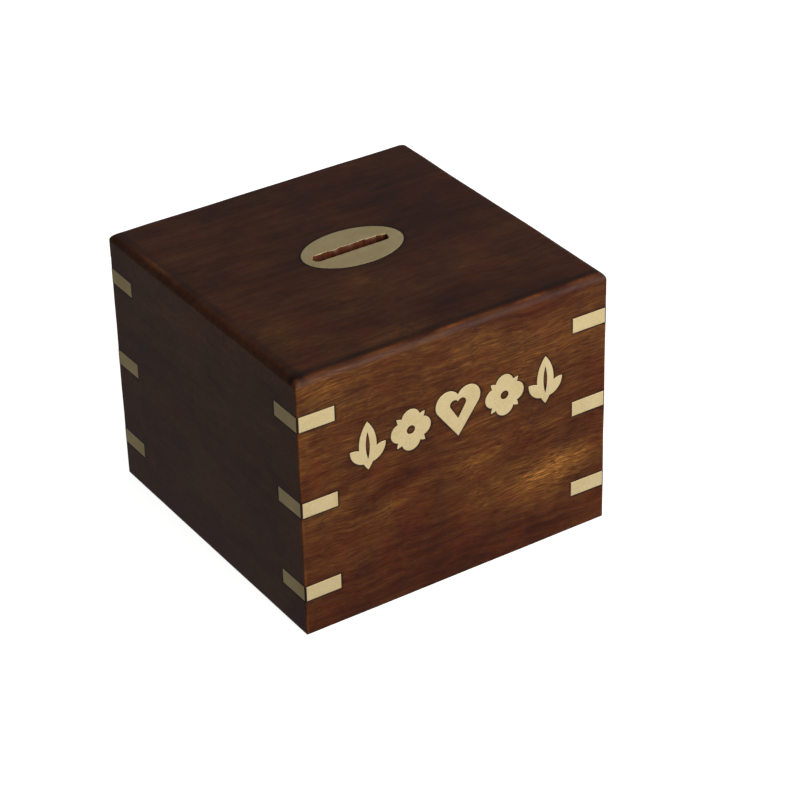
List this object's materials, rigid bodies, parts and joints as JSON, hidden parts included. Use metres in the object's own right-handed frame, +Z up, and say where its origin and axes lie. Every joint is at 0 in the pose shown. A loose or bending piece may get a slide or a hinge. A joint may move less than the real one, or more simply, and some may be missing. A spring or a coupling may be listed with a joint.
{
  "type": "donation box",
  "caption": "Square dark wooden donation box with an oval brass coin slot, brass corner strips and ornaments, and a sliding base locked by a screw.",
  "frame": {"origin": "centre of the underside, on the surface the box stands on", "axes": "+Z up, -Y out of the ornamented front, +X to the right when facing the front"},
  "size_m": [0.125, 0.125, 0.1],
  "materials": {
    "stained_wood": "dark stain and polish over figured hardwood",
    "stained_top": "darker stain and polish over figured hardwood",
    "bare_wood": "sanded, thinly stained wood inside and underneath",
    "brass_inlay": "sheet brass, sanded flush with the wood",
    "brass_hardware": "turned brass"
  },
  "bodies": {
    "box": {"top_board": "stained_top", "front_wall": "stained_wood", "right_wall": "stained_wood", "back_wall": "stained_wood", "left_wall": "stained_wood", "slot_plate": "brass_inlay", "strip_front_left_low": "brass_inlay", "strip_front_left_middle": "brass_inlay", "strip_front_left_top": "brass_inlay", "strip_front_right_low": "brass_inlay", "strip_front_right_middle": "brass_inlay", "strip_front_right_top": "brass_inlay", "strip_right_front_low": "brass_inlay", "strip_right_front_middle": "brass_inlay", "strip_right_front_top": "brass_inlay", "strip_right_back_low": "brass_inlay", "strip_right_back_middle": "brass_inlay", "strip_right_back_top": "brass_inlay", "strip_back_right_low": "brass_inlay", "strip_back_right_middle": "brass_inlay", "strip_back_right_top": "brass_inlay", "strip_back_left_low": "brass_inlay", "strip_back_left_middle": "brass_inlay", "strip_back_left_top": "brass_inlay", "strip_left_back_low": "brass_inlay", "strip_left_back_middle": "brass_inlay", "strip_left_back_top": "brass_inlay", "strip_left_front_low": "brass_inlay", "strip_left_front_middle": "brass_inlay", "strip_left_front_top": "brass_inlay", "inlay_leaf_left": "brass_inlay", "inlay_flower_left": "brass_inlay", "inlay_heart": "brass_inlay", "inlay_flower_right": "brass_inlay", "inlay_leaf_right": "brass_inlay", "lock_block": "bare_wood"},
    "base": {"base_panel": "bare_wood", "base_rear_rail": "stained_wood"},
    "cup": {"screw_cup": "brass_hardware"},
    "screw": {"locking_screw": "brass_hardware"}
  },
  "joints": [
    {"name": "base_slide", "type": "slide", "parent": "box", "child": "base", "axis": [0, 1, 0], "range_m": [0, 0.12]},
    {"name": "screw_back_out", "type": "slide", "parent": "base", "child": "cup", "axis": [0, 1, 0], "range_m": [0, 0.0084]},
    {"name": "screw_turn", "type": "hinge", "parent": "cup", "child": "screw", "pos_m": [0, 0.0625, 0.0092], "axis": [0, 1, 0], "range_deg": [0, 2520]}
  ],
  "couplings": [
    {"joint": "screw_back_out", "follows": "screw_turn", "m_per_rad": 0.00019099}
  ]
}
